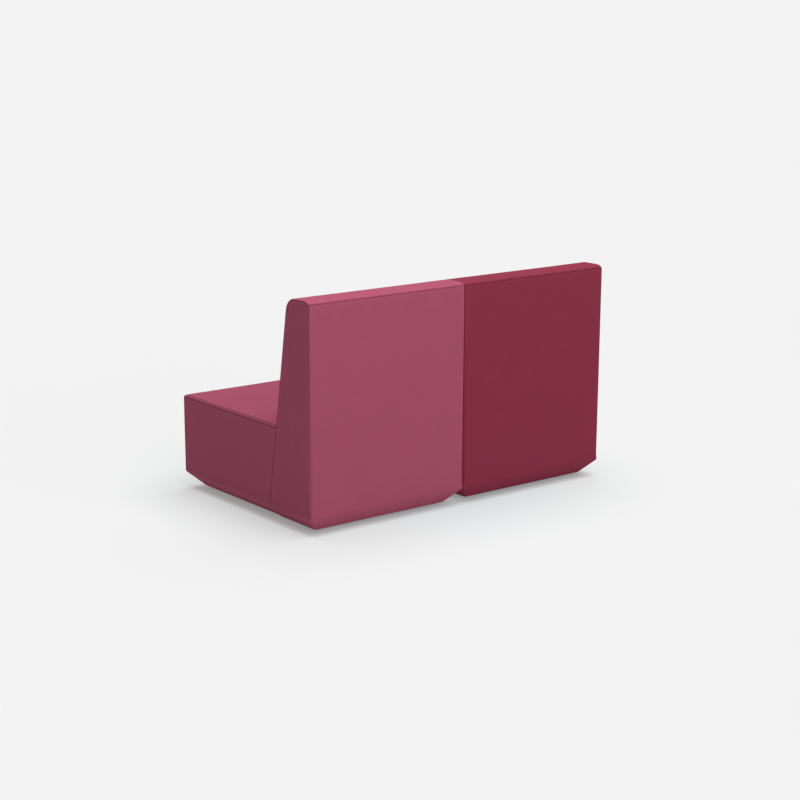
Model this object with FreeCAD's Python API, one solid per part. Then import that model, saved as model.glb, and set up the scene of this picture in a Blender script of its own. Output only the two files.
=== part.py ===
import FreeCAD, Part
import math
import os
from FreeCAD import Vector

# High-back two-seat sofa: two upholstered modules side by side, linked under their seats.
# Millimetres, +Z up, the sofa faces -Y. The origin is on the floor, in the middle of the footprint.
# Heights named "..._above_base" are counted from the underside of the covers.

# Module
module_width = 750.0
module_gap = 3.0
overall_depth = 925.0
bevel_height = 60.0
fold_softness = 8.0
edge_radius = 4.0
rounding_steps = (1.0, 0.45, 0.15, 0.03, 0.0)

# Back block
back_height = 907.0
back_base_depth = 300.5
back_lean = 9.5
back_bevel = 57.0
back_front_radius = 50.0
back_rear_radius = 36.0
back_side_radius = 4.0

# Seat block
seat_height = 391.0
seat_crown = 6.0
seat_crown_reach = 230.0
crown_steps = (0.25, 0.6, 1.0)
seat_bevel = 62.0
seat_front_radius = 15.0
seat_side_radius = 11.0
seat_back_gap = 0.6

# Covers and padding
cover_thickness = 2.0
hem_width = 25.0
fit_gap = 0.3
wrap_thickness = 10.0
back_foam_thickness = 55.0
back_top_foam = 40.0
dust_cloth_thickness = 1.0
dust_cloth_margin = 8.0

# Timber frame
board = 18.0
plinth_land = 66.0
rail_top_above_base = 262.0
bolt_rail_top_above_base = 240.0
rear_panel_thickness = 4.0
corner_block_leg = 60.0
corner_block_height = 120.0
post_rim = 35.0
post_window_margin = 70.0

# Webbing
strap_width = 60.0
strap_thickness = 1.6
strap_end_margin = 3.0
seat_straps_long = 4
seat_straps_cross = 4
back_straps = 5
strap_edge_margin = 45.0

# Fasteners
glide_height = 9.0
glide_radius = 16.0
glide_foot_radius = 13.0
glide_well_depth = 5.0
glide_well_radius = 5.5
glide_from_edge = 46.0
glide_from_joint = 22.0
screw_radius = 2.0
screw_head_radius = 4.5
screw_head_height = 2.5
screw_length = 34.0
thread_gap = 0.15
shank_flats = 8
bolt_radius = 4.0
bolt_head_radius = 6.5
bolt_head_height = 5.5
washer_radius = 11.0
washer_thickness = 1.6
bolt_length = 50.0
bolt_from_block = 65.0
bolt_low_above_base = 105.0
bolt_high_above_base = 200.0
nut_barrel_radius = 5.2
nut_barrel_length = 11.0
nut_flange_radius = 11.0
nut_flange_thickness = 1.5

# Links between the two modules
link_thickness = 4.0
link_half_width = 17.0
link_from_edge = 22.5
link_front_from_front = 132.0
link_rear_from_joint = 69.0
link_pin_radius = 5.0
link_pin_gap = 0.1
link_slot_gap = 0.6
link_head_radius = 9.0
link_head_height = 2.2
link_run_gap = 0.3
link_pin_depth = 22.0

# Places that follow from the sizes above
half_width = module_width / 2
front_y = -overall_depth / 2
back_y = overall_depth / 2
base_z = glide_height + dust_cloth_thickness
lining = cover_thickness + fit_gap
frame_inset = lining + wrap_thickness
lean_rise = math.tan(math.radians(back_lean))
lean_cos = math.cos(math.radians(back_lean))
lean_sin = math.sin(math.radians(back_lean))
plinth_top = base_z + bevel_height
rail_top = base_z + rail_top_above_base
bolt_rail_top = base_z + bolt_rail_top_above_base
back_top = base_z + back_height
core_top = back_top - lining - back_top_foam
webbing_lift = (strap_thickness + fit_gap) / 2
foam_bottom = rail_top + strap_thickness + webbing_lift + fit_gap
post_setback = lining + back_foam_thickness + fit_gap + strap_thickness
rear_frame_y = back_y - frame_inset - rear_panel_thickness
frame_half = half_width - frame_inset
bay_half = frame_half - board
far = 2 * (overall_depth + module_width)
module_centre = (module_width + module_gap) / 2
UP = Vector(0, 0, 1)


def joint_y(z, setback):
    """Y of a plane parallel to the back block's leaning front face, set back into the block."""
    return back_y - back_base_depth + (z - base_z) * lean_rise + setback / lean_cos


def seat_rear_y(z, setback):
    """Y of a plane parallel to the seat block's leaning rear face, set forward from it into the seat."""
    return joint_y(z, -seat_back_gap - setback)


def box(x0, x1, y0, y1, z0, z1):
    """Block between two corners."""
    return Part.makeBox(x1 - x0, y1 - y0, z1 - z0, Vector(x0, y0, z0))


def flat_face(points):
    """Plane face inside a closed run of points."""
    return Part.Face(Part.makePolygon(points + points[:1]))


def side_prism(points, x0, x1):
    """Outline drawn in the side view (y, z) and drawn out along X."""
    return flat_face([Vector(x0, y, z) for y, z in points]).extrude(Vector(x1 - x0, 0, 0))


def plan_prism(points, z0, z1):
    """Outline drawn in plan (x, y) and drawn out along Z."""
    return flat_face([Vector(x, y, z0) for x, y in points]).extrude(Vector(0, 0, z1 - z0))


def rod(radius, length, foot, direction):
    """Round bar from a foot point along a direction."""
    return Part.makeCylinder(radius, length, foot, direction)


def shank(radius, length, foot, direction):
    """Bar of few flats, for hidden fasteners and the holes that they pass through."""
    across = Vector(1, 0, 0)
    upward = direction.cross(across)
    corners = []
    for index in range(shank_flats):
        turn = math.radians(360 * index / shank_flats)
        corners.append(foot + (across * math.cos(turn) + upward * math.sin(turn)) * radius)
    return flat_face(corners).extrude(direction * length)


def rounded_rectangle(x0, x1, y0, y1, radius, z):
    """Closed outline of four lines and four arcs at one height."""
    corners = ((x1, y1, 0), (x0, y1, 90), (x0, y0, 180), (x1, y0, 270))
    ends = []
    for x, y, start in corners:
        side_x = math.copysign(radius, x - (x0 + x1) / 2)
        side_y = math.copysign(radius, y - (y0 + y1) / 2)
        centre = Vector(x - side_x, y - side_y, z)
        turn = [math.radians(start + step) for step in (0, 45, 90)]
        ends.append([centre + Vector(math.cos(a), math.sin(a), 0) * radius for a in turn])
    edges = []
    for index, arc in enumerate(ends):
        edges.append(Part.Arc(*arc).toShape())
        edges.append(Part.LineSegment(arc[2], ends[(index + 1) % 4][0]).toShape())
    return Part.Wire(edges)


def clipped_rectangle(x0, x1, y0, y1, radius, z):
    """Eight corner points of a level outline, clipped along the tangent of a rounding."""
    leg = radius * (2 - math.sqrt(2))
    corners = ((x1, y0 + leg), (x1, y1 - leg), (x1 - leg, y1), (x0 + leg, y1),
               (x0, y1 - leg), (x0, y0 + leg), (x0 + leg, y0), (x1 - leg, y0))
    return [Vector(x, y, z) for x, y in corners]


def block_loft(outlines, inset):
    """Solid through level outlines (x0, x1, y0, y1, z): rounded corners outside, flat facets inside."""
    radius = edge_radius - inset
    if not inset:
        wires = [rounded_rectangle(x0, x1, y0, y1, radius, z) for x0, x1, y0, y1, z in outlines]
        return Part.makeLoft(wires, True, True)
    rings = [clipped_rectangle(x0, x1, y0, y1, radius, z) for x0, x1, y0, y1, z in outlines]
    faces = [flat_face(rings[0]), flat_face(rings[-1])]
    for lower, upper in zip(rings, rings[1:]):
        for index in range(len(lower)):
            faces.append(flat_face([lower[index - 1], lower[index], upper[index], upper[index - 1]]))
    skin = Part.makeCompound(faces)
    skin.sewShape()
    return Part.makeSolid(skin.Shells[0])


def bevel_inset(height, bevel, inset):
    """How far a bevelled wall stands in from the block's outer plane, a given height above the base."""
    slant = math.hypot(bevel, bevel_height) / bevel_height
    return max(inset, bevel * (1 - height / bevel_height) + inset * slant)


def bevel_fold(bevel, inset):
    """Height above the base where the bevel turns into the upright wall."""
    slant = math.hypot(bevel, bevel_height) / bevel_height
    return bevel_height * (1 + inset * (slant - 1) / bevel)


def round_over(radius, below_top):
    """How far a rounded top edge draws its wall in, a given depth below the top."""
    if below_top >= radius:
        return 0.0
    return radius - math.sqrt(radius ** 2 - (radius - below_top) ** 2)


def top_steps(radius):
    """Depths below the top at which the outline of a rounded top edge is drawn."""
    return [radius * share for share in rounding_steps]


def back_form(inset):
    """Wedge of the back block, every face moved inwards by the inset."""
    front_radius = back_front_radius - inset
    rear_radius = back_rear_radius - inset
    side_radius = back_side_radius - inset
    fold = bevel_fold(back_bevel, inset)
    heights = [inset, fold - fold_softness, fold + fold_softness]
    heights += [back_height - inset - step for step in top_steps(front_radius)]
    outlines = []
    for height in heights:
        z = base_z + height
        below_top = back_height - inset - height
        wall = bevel_inset(height, back_bevel, inset)
        side = wall + round_over(side_radius, below_top)
        rear = wall + round_over(rear_radius, below_top)
        front = joint_y(z, inset) + round_over(front_radius, below_top)
        x = half_width - side
        outlines.append((-x, x, front, back_y - rear, z))
    return block_loft(outlines, inset)


def seat_form(inset):
    """Seat block with its crowned top, every face moved inwards by the inset."""
    front_radius = seat_front_radius - inset
    side_radius = seat_side_radius - inset
    fold = bevel_fold(seat_bevel, inset)
    heights = [(inset, 0.0), (fold - fold_softness, 0.0), (fold + fold_softness, 0.0)]
    heights += [(seat_height - inset - step, 0.0) for step in top_steps(front_radius)]
    for share in crown_steps:
        rise = seat_crown * (1 - (1 - share) ** 2)
        heights.append((seat_height - inset + rise, share * seat_crown_reach))
    outlines = []
    for height, drawn_in in heights:
        z = base_z + height
        below_top = max(0.0, seat_height - inset - height)
        wall = bevel_inset(height, seat_bevel, inset) + drawn_in
        side = wall + round_over(side_radius, below_top)
        front = front_y + wall + round_over(front_radius, below_top)
        rear = seat_rear_y(z, inset) - drawn_in - round_over(side_radius, below_top)
        x = half_width - side
        outlines.append((-x, x, front, rear, z))
    return block_loft(outlines, inset)


def joint_normal():
    """Direction from the seat into the back block, square to the leaning joint between them."""
    return Vector(0, lean_cos, -lean_sin)


def bolt_feet():
    """Points on the seat rear rail's front face where the joining bolts' washers sit."""
    feet = []
    reach = bay_half - corner_block_leg - bolt_from_block
    for x in (-reach, reach):
        for height in (bolt_low_above_base, bolt_high_above_base):
            z = base_z + height
            feet.append(Vector(x, seat_rear_y(z, lining + board), z))
    return feet


def bolt_drills(radius):
    """Bars along the joining bolts, to cut clearance holes with."""
    reach = washer_radius + bolt_length
    tools = []
    for foot in bolt_feet():
        tools.append(shank(radius, 2 * reach, foot - joint_normal() * reach, joint_normal()))
    return tools


def glide_places():
    """Plan positions of the six glides: four under the seat, two under the back."""
    seat_x = half_width - seat_bevel - glide_from_edge
    back_x = half_width - back_bevel - glide_from_edge
    seat_front_y = front_y + seat_bevel + glide_from_edge
    seat_joint_y = seat_rear_y(base_z, lining + board) - glide_from_joint
    back_rear_y = back_y - back_bevel - glide_from_edge
    rows = ((seat_x, seat_front_y), (seat_x, seat_joint_y), (back_x, back_rear_y))
    return [(side * x, y) for x, y in rows for side in (-1, 1)]


def glide_drills(radius):
    """Bars along the glide screws, to cut holes with."""
    return [shank(radius, base_z + screw_length, Vector(x, y, 0), UP) for x, y in glide_places()]


def link_rows():
    """Y of the front and rear link."""
    return (front_y + link_front_from_front, seat_rear_y(base_z, lining + board) - link_rear_from_joint)


def link_x():
    """Distance of a link's pivot or stud from the middle of its own module."""
    return half_width - seat_bevel - link_from_edge


def link_drills(side, radius):
    """Bars along the link pins on one side of a module, to cut holes with."""
    x = side * link_x()
    return [shank(radius, glide_height + link_pin_depth, Vector(x, y, 0), UP) for y in link_rows()]


def seat_cover(link_side):
    """Sewn seat cover, open under the seat inside its hem."""
    shell = seat_form(0.0).cut(seat_form(cover_thickness))
    x = half_width - seat_bevel - hem_width
    front = front_y + seat_bevel + hem_width
    rear = seat_rear_y(base_z, hem_width)
    mouth = box(-x, x, front, rear, base_z - fit_gap, base_z + cover_thickness + fit_gap)
    holes = bolt_drills(bolt_radius + thread_gap) + glide_drills(screw_radius + thread_gap)
    holes += link_drills(link_side, link_pin_radius + thread_gap)
    return shell.cut([mouth] + holes)


def seat_foam():
    """Crowned foam slab on the webbing."""
    above = box(-far, far, -far, far, foam_bottom, far)
    return seat_form(lining).common(above)


def seat_wrap_foam():
    """Thin foam round the front and side rails."""
    band = box(-far, far, -far, far, plinth_top, rail_top)
    frame = box(-frame_half, frame_half, front_y + frame_inset, far, plinth_top, rail_top)
    return seat_form(lining).common(band).cut(frame)


def seat_plinth(link_side):
    """Bevelled battens under the rails: front, left and right, mitred at the front corners."""
    band = box(-far, far, -far, far, base_z, plinth_top)
    x = half_width - seat_bevel - plinth_land
    well = box(-x, x, front_y + seat_bevel + plinth_land, far, base_z, plinth_top)
    rail_zone = side_prism(((seat_rear_y(base_z, lining + board), base_z), (far, base_z), (far, plinth_top),
                            (seat_rear_y(plinth_top, lining + board), plinth_top)), -far, far)
    holes = glide_drills(screw_radius + thread_gap) + link_drills(link_side, link_pin_radius + thread_gap)
    ring = seat_form(lining).common(band).cut([well, rail_zone] + holes)
    return mitred(ring, front_y, 1)


def back_plinth():
    """Bevelled battens under the back frame: rear, left and right, mitred at the rear corners."""
    band = box(-far, far, -far, far, base_z, plinth_top)
    x = half_width - back_bevel - plinth_land
    well = box(-x, x, -far, back_y - back_bevel - plinth_land, base_z, plinth_top)
    rail_zone = side_prism(((-far, base_z), (joint_y(base_z, lining + board), base_z),
                            (joint_y(plinth_top, lining + board), plinth_top), (-far, plinth_top)),
                           -far, far)
    ring = back_form(lining).common(band).cut([well, rail_zone] + glide_drills(screw_radius + thread_gap))
    return mitred(ring, back_y, -1)


def mitred(ring, y, way):
    """U of battens parted by 45 degree mitres from its two outer corners, way pointing into the module."""
    reach = half_width / 2
    corners = ((-half_width, y), (half_width, y), (half_width - reach, y + way * reach),
               (-half_width + reach, y + way * reach))
    end = plan_prism(corners, base_z - fit_gap, plinth_top + fit_gap)
    return Part.makeCompound(ring.common(end).Solids + ring.cut(end).Solids)


def seat_front_rail():
    """Upright board behind the front face."""
    y = front_y + frame_inset
    return box(-frame_half, frame_half, y, y + board, plinth_top, rail_top)


def seat_side_rail(side):
    """Upright board along one side, its rear end cut to the lean of the back."""
    y = front_y + frame_inset + board
    outline = ((y, plinth_top), (seat_rear_y(plinth_top, lining), plinth_top),
               (seat_rear_y(rail_top, lining), rail_top), (y, rail_top))
    x = min(side * bay_half, side * frame_half)
    return side_prism(outline, x, x + board)


def seat_rear_rail():
    """Leaning board that the back block is bolted to, with feet that reach down to the base."""
    foot = base_z + lining
    outline = ((seat_rear_y(foot, lining + board), foot), (seat_rear_y(foot, lining), foot),
               (seat_rear_y(rail_top, lining), rail_top), (seat_rear_y(rail_top, lining + board), rail_top))
    rail = side_prism(outline, -bay_half, bay_half).common(seat_form(lining))
    return rail.cut(bolt_drills(bolt_radius + thread_gap))


def seat_corner_blocks():
    """Triangular glue blocks in the four inner corners of the seat frame."""
    front = front_y + frame_inset + board
    top = plinth_top + corner_block_height
    blocks = []
    for side in (-1, 1):
        x = side * bay_half
        leg = -side * corner_block_leg
        corner = ((x, front), (x + leg, front), (x, front + corner_block_leg))
        blocks.append(plan_prism(corner, plinth_top, top))
        rear = seat_rear_y(plinth_top, lining + board)
        lean = ((rear - corner_block_leg, plinth_top), (rear, plinth_top),
                (seat_rear_y(top, lining + board), top), (rear - corner_block_leg, top))
        slab = side_prism(lean, min(x, x + leg), max(x, x + leg))
        corner = ((x, rear - corner_block_leg), (x + leg, rear), (x + leg, far), (x, far))
        blocks.append(slab.common(plan_prism(corner, plinth_top, top)))
    return Part.makeCompound(blocks)


def spread(low, high, count):
    """Evenly spaced places from low to high."""
    return [low + (high - low) * index / (count - 1) for index in range(count)]


def woven_strap(start, end, crossings, first_up):
    """Side outline of one strap: flat ends on the rails, over and under at the crossing straps."""
    middle = rail_top + strap_thickness / 2
    line = [(start, middle), (start + board, middle)]
    rise = webbing_lift if first_up else -webbing_lift
    for place in crossings:
        line.append((place - strap_width / 2 - strap_end_margin, middle + rise))
        line.append((place + strap_width / 2 + strap_end_margin, middle + rise))
        rise = -rise
    line += [(end - board, middle), (end, middle)]
    upper = [(run, z + strap_thickness / 2) for run, z in line]
    lower = [(run, z - strap_thickness / 2) for run, z in line]
    return upper + lower[::-1]


def seat_webbing():
    """Elastic straps front to back and side to side, woven over and under each other on the rails."""
    front = front_y + frame_inset + strap_end_margin
    rear = seat_rear_y(rail_top, lining + strap_end_margin)
    side = frame_half - strap_end_margin
    margin = board + strap_edge_margin + strap_width / 2
    long_places = spread(-frame_half + margin, frame_half - margin, seat_straps_long)
    cross_places = spread(front + margin, rear - margin, seat_straps_cross)
    straps = []
    for index, x in enumerate(long_places):
        outline = woven_strap(front, rear, cross_places, index % 2 == 0)
        straps.append(side_prism(outline, x - strap_width / 2, x + strap_width / 2))
    for index, y in enumerate(cross_places):
        outline = woven_strap(-side, side, long_places, index % 2 == 1)
        side_view = flat_face([Vector(x, y - strap_width / 2, z) for x, z in outline])
        straps.append(side_view.extrude(Vector(0, strap_width, 0)))
    return Part.makeCompound(straps)


def seat_dust_cloth(link_side):
    """Thin cloth that closes the seat from below."""
    x = half_width - seat_bevel - dust_cloth_margin
    front = front_y + seat_bevel + dust_cloth_margin
    cloth = box(-x, x, front, seat_rear_y(base_z, dust_cloth_margin), glide_height, base_z)
    holes = glide_drills(screw_radius + thread_gap) + link_drills(link_side, link_pin_radius + thread_gap)
    return cloth.cut(holes)


def back_cover():
    """Sewn back cover, open under the back inside its hem."""
    shell = back_form(0.0).cut(back_form(cover_thickness))
    x = half_width - back_bevel - hem_width
    rear = back_y - back_bevel - hem_width
    front = joint_y(base_z, hem_width)
    mouth = box(-x, x, front, rear, base_z - fit_gap, base_z + cover_thickness + fit_gap)
    holes = bolt_drills(bolt_radius + thread_gap) + glide_drills(screw_radius + thread_gap)
    return shell.cut([mouth] + holes)


def leaning_slab(setback, thickness, z0, z1, x0, x1):
    """Slab parallel to the back block's front face."""
    outline = ((joint_y(z0, setback), z0), (joint_y(z0, setback + thickness), z0),
               (joint_y(z1, setback + thickness), z1), (joint_y(z1, setback), z1))
    return side_prism(outline, x0, x1)


def back_front_foam():
    """Foam against the sitter's back, rolled over the top of the frame to the rear."""
    form = back_form(lining)
    front = form.common(leaning_slab(0.0, lining + back_foam_thickness, bolt_rail_top, core_top,
                                     -frame_half, frame_half))
    roll = form.common(box(-far, far, -far, far, core_top, far))
    return front.fuse(roll).removeSplitter()


def back_wrap_foam():
    """Thin foam behind the rear panel and outside the posts."""
    band = box(-far, far, -far, far, plinth_top, core_top)
    frame = box(-frame_half, frame_half, -far, back_y - frame_inset, plinth_top, core_top)
    return back_form(lining).common(band).cut(frame)


def back_post(side):
    """Wedge-shaped side board with a stepped front edge and a window that saves weight."""
    low = lining + board
    outline = ((rear_frame_y, plinth_top), (rear_frame_y, core_top),
               (joint_y(core_top, post_setback), core_top),
               (joint_y(bolt_rail_top, post_setback), bolt_rail_top),
               (joint_y(bolt_rail_top, low), bolt_rail_top), (joint_y(plinth_top, low), plinth_top))
    x = min(side * bay_half, side * frame_half)
    post = side_prism(outline, x, x + board)
    foot = bolt_rail_top + post_window_margin
    head = core_top - board - 2 * post_window_margin
    rear = rear_frame_y - post_rim
    opening = ((joint_y(foot, post_setback) + post_rim, foot), (rear, foot), (rear, head),
               (joint_y(head, post_setback) + post_rim, head))
    return post.cut(side_prism(opening, x, x + board))


def back_top_rail():
    """Flat board between the tops of the posts."""
    low = core_top - board
    outline = ((rear_frame_y, low), (rear_frame_y, core_top), (joint_y(core_top, post_setback), core_top),
               (joint_y(low, post_setback), low))
    return side_prism(outline, -bay_half, bay_half)


def back_bolt_rail():
    """Leaning board behind the joint, which holds the tee nuts."""
    rail = leaning_slab(lining, board, base_z + lining, bolt_rail_top, -frame_half, frame_half)
    return rail.common(back_form(lining)).cut(bolt_drills(nut_barrel_radius + thread_gap))


def back_rear_panel():
    """Hardboard nailed to the rear of the posts."""
    return box(-frame_half, frame_half, rear_frame_y, back_y - frame_inset, plinth_top, core_top)


def back_webbing():
    """Elastic straps from post to post behind the front foam."""
    side = frame_half - strap_end_margin
    margin = strap_edge_margin + strap_width / 2
    straps = []
    reach = strap_width * lean_cos / 2
    front = post_setback - strap_thickness
    for z in spread(bolt_rail_top + margin, core_top - margin, back_straps):
        straps.append(leaning_slab(front, strap_thickness, z - reach, z + reach, -side, side))
    return Part.makeCompound(straps)


def back_dust_cloth():
    """Thin cloth that closes the back block from below."""
    x = half_width - back_bevel - dust_cloth_margin
    rear = back_y - back_bevel - dust_cloth_margin
    cloth = box(-x, x, joint_y(base_z, dust_cloth_margin), rear, glide_height, base_z)
    return cloth.cut(glide_drills(screw_radius + thread_gap))


def glides():
    """Turned plastic feet, hollow underneath for the screw head."""
    feet = []
    for x, y in glide_places():
        centre = Vector(x, y, 0)
        foot = Part.makeCone(glide_foot_radius, glide_radius, glide_height, centre)
        well = shank(glide_well_radius, glide_well_depth, centre, UP)
        hole = shank(screw_radius + thread_gap, glide_height, centre, UP)
        feet.append(foot.cut([well, hole]))
    return Part.makeCompound(feet)


def glide_screws():
    """Screws that hold the glides to the plinths."""
    screws = []
    for x, y in glide_places():
        seat = Vector(x, y, glide_well_depth)
        head = shank(screw_head_radius, screw_head_height, seat - UP * screw_head_height, UP)
        screws.append(head.fuse(shank(screw_radius, screw_length, seat, UP)))
    return Part.makeCompound(screws)


def joining_bolts():
    """Hexagon bolts with washers, from the seat's rear rail into the back block."""
    bolts = []
    way = joint_normal()
    for foot in bolt_feet():
        washer = shank(washer_radius, washer_thickness, foot - way * washer_thickness, way)
        crown = foot - way * (washer_thickness + bolt_head_height)
        head = shank(bolt_head_radius, bolt_head_height, crown, way)
        bolts.append(washer.fuse([head, shank(bolt_radius, bolt_length, foot, way)]).removeSplitter())
    return Part.makeCompound(bolts)


def tee_nuts():
    """Flanged nuts on the far side of the back's bolt rail."""
    nuts = []
    way = joint_normal()
    seat_to_rail = 2 * lining + seat_back_gap + 2 * board
    for foot in bolt_feet():
        face = foot + way * seat_to_rail
        tip = face - way * nut_barrel_length
        flange = shank(nut_flange_radius, nut_flange_thickness, face, way)
        barrel = shank(nut_barrel_radius, nut_barrel_length, tip, way)
        bore = shank(bolt_radius + thread_gap, nut_barrel_length + nut_flange_thickness, tip, way)
        nuts.append(flange.fuse(barrel).cut(bore).removeSplitter())
    return Part.makeCompound(nuts)


def link_plate(y, way):
    """Steel plate from the pivot to the stud, with an arc-shaped hook that opens against the swing."""
    top = glide_height - link_run_gap
    foot = top - link_thickness
    pivot = Vector(module_centre - link_x(), y, foot)
    stud = Vector(-module_centre + link_x(), y, foot)
    reach = pivot.x - stud.x
    bar = box(stud.x, pivot.x, y - link_half_width, y + link_half_width, foot, top)
    ends = [rod(link_half_width, link_thickness, end, UP) for end in (pivot, stud)]
    plate = bar.fuse(ends).removeSplitter()
    slot_radius = link_pin_radius + link_slot_gap
    outer = rod(reach + slot_radius, link_thickness, pivot, UP)
    ring = outer.cut(rod(reach - slot_radius, link_thickness, pivot, UP))
    mouth = ring.common(box(stud.x - far, pivot.x, min(y, y + way * far), max(y, y + way * far), foot, top))
    return plate.cut([mouth, rod(slot_radius, link_thickness, stud, UP),
                      rod(link_pin_radius + link_pin_gap, link_thickness, pivot, UP)])


def link_pins(x):
    """Shouldered pins with a flat head, screwed up into the plinth, one for each link."""
    top = glide_height - link_run_gap
    head_top = top - link_thickness - link_run_gap
    pins = []
    for y in link_rows():
        neck = Vector(x, y, head_top)
        head = rod(link_head_radius, link_head_height, neck - UP * link_head_height, UP)
        journal = rod(link_pin_radius, glide_height - head_top, neck, UP)
        root = shank(link_pin_radius, link_pin_depth, Vector(x, y, glide_height), UP)
        pins.append(head.fuse([journal, root]).removeSplitter())
    return Part.makeCompound(pins)


def module_pieces(link_side):
    """Every piece of one module by name, centred on X, with link holes on the given side."""
    return {
        "seat_cover": seat_cover(link_side),
        "seat_foam": seat_foam(),
        "seat_wrap_foam": seat_wrap_foam(),
        "seat_webbing": seat_webbing(),
        "seat_front_rail": seat_front_rail(),
        "seat_rear_rail": seat_rear_rail(),
        "seat_left_rail": seat_side_rail(1),
        "seat_right_rail": seat_side_rail(-1),
        "seat_plinth": seat_plinth(link_side),
        "seat_corner_blocks": seat_corner_blocks(),
        "seat_dust_cloth": seat_dust_cloth(link_side),
        "back_cover": back_cover(),
        "back_front_foam": back_front_foam(),
        "back_wrap_foam": back_wrap_foam(),
        "back_left_post": back_post(1),
        "back_right_post": back_post(-1),
        "back_top_rail": back_top_rail(),
        "back_bolt_rail": back_bolt_rail(),
        "back_plinth": back_plinth(),
        "back_rear_panel": back_rear_panel(),
        "back_webbing": back_webbing(),
        "back_dust_cloth": back_dust_cloth(),
        "glides": glides(),
        "glide_screws": glide_screws(),
        "joining_bolts": joining_bolts(),
        "tee_nuts": tee_nuts(),
    }


def sofa():
    """Both modules and the links between them, by node name."""
    nodes = {}
    for colour, side in (("rose", 1), ("burgundy", -1)):
        for name, shape in module_pieces(-side).items():
            shape.translate(Vector(side * module_centre, 0, 0))
            nodes[f"{colour}_{name}"] = shape
    front_row, rear_row = link_rows()
    nodes["front_link"] = link_plate(front_row, -1)
    nodes["rear_link"] = link_plate(rear_row, 1)
    nodes["link_pivots"] = link_pins(module_centre - link_x())
    nodes["link_studs"] = link_pins(-module_centre + link_x())
    return nodes


os.makedirs("parts", exist_ok=True)
for name, shape in sofa().items():
    shape.exportStep(f"parts/{name}.step")
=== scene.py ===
"""Dresses the frame of a high-back two-seat sofa.

Sewn covers, top stitching, dust cloths, finishes and a stage are built around the frame's pieces.
"""

import math

import bpy
from bpy.props import FloatProperty, FloatVectorProperty, IntProperty, PointerProperty
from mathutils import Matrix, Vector, kdtree, noise


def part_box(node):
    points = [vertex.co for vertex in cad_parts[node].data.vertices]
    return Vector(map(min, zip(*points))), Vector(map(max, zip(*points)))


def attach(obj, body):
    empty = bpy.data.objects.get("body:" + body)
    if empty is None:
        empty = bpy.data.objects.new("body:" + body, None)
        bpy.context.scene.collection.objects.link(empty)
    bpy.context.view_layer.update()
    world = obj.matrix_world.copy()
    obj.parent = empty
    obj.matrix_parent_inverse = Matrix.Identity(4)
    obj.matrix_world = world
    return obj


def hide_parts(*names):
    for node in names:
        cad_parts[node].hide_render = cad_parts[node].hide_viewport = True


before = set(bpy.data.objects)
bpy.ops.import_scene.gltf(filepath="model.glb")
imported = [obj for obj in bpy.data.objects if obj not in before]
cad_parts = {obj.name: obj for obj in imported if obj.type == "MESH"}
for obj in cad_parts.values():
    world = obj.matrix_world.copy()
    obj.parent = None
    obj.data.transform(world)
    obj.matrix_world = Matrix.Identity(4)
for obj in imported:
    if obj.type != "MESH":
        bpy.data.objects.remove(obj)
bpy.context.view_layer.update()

bl_info = {
    "name": "Two-seat sofa dressing",
    "version": (1, 0, 0),
    "blender": (4, 5, 0),
    "location": "3D View > Sidebar > Sofa",
    "description": "Builds the covers, stitching, dust cloths, finishes and stage around the sofa's frame",
    "category": "Object",
}

BACK_LOW, BACK_HIGH = (Vector(corner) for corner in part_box("rose_back_cover"))
SEAT_LOW, SEAT_HIGH = (Vector(corner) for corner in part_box("rose_seat_cover"))
WRAP_LOW, WRAP_HIGH = (Vector(corner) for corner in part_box("rose_back_wrap_foam"))
MODULES = (("rose", 1), ("burgundy", -1))
BODY = "sofa"

# Rows of a cover's mesh: heights over the base, shares of the fold and of a rounding, offsets from a seam.
FOOT_ROWS = (0.0, 0.0012, 0.004, 0.012, 0.024, 0.036)
FOLD_ROWS = (-1.6, -1, -0.6, -0.2, 0.2, 0.6, 1, 1.6)
ROUND_ROWS = (1.0, 0.8, 0.62, 0.50, 0.43, 0.39, 0.35, 0.31, 0.27, 0.22, 0.17, 0.12, 0.075, 0.04, 0.015,
              0.003, 0.0)
SEAM_ROWS = (-0.004, -0.002, -0.001, 0.0, 0.001, 0.002, 0.004)
SEAM_CLEAR = 0.0045

# Columns of the mesh, as distances from a rounded corner: many on a cover, few on the simulated padding.
COVER_ENDS = (0.0, 0.001, 0.002, 0.003, 0.0045, 0.008, 0.014)
PAD_ENDS = (0.0, 0.012)
PAD_STEP = 0.026
HALF_CORNER_CELLS = 3
ARC_CELLS = 14

# Spacing of the points that draw a seam line, and of those that its groove follows.
LINE_STEP = 0.006
MARK_STEP = 0.0015

# Hem under the base: width of its outer strip and of its turned edge.
HEM_STRIP = 0.0025
HEM_TURN = 0.0006

# Padding: what the hem and the seams hold, the frames of the simulation and its cloth.
HELD_FOOT = 0.004
HELD_SEAM = 0.013
PAD_FRAMES = 20
PAD_CLOTH = {
    "quality": 6, "mass": 0.3, "tension_stiffness": 60, "compression_stiffness": 60, "shear_stiffness": 25,
    "bending_stiffness": 4, "use_pressure": True, "uniform_pressure_force": 4, "vertex_group_mass": "sewn",
}
PAD_NEAREST = 4
PAD_BLUR = 0.002
SIDE_HOLD = 0.8
SEAT_REST = 0.01
SEAT_FREE = 0.12

# Slight unevenness of a cover, and the rubbed strip beside its seams.
RIPPLE_DEPTH = 0.0003
RIPPLE_WAVES = 16
RUB_SHARE = 0.25
RUB_PLACE = 0.006

# One stitch from end to end: place along it, thickness and lift, as shares of its length and its radius.
STITCH = ((-0.5, 0.3, -0.9), (-0.38, 0.9, -0.25), (0.0, 1.0, 0.25), (0.38, 0.9, -0.25), (0.5, 0.3, -0.9))
STITCH_SIDES = 6
STITCH_SINK = 0.4

# Top stitching down the front: its groove's depth there, and its lower end, in bevel heights.
STITCH_FADE = 0.3
STITCH_END = 1.5

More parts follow.
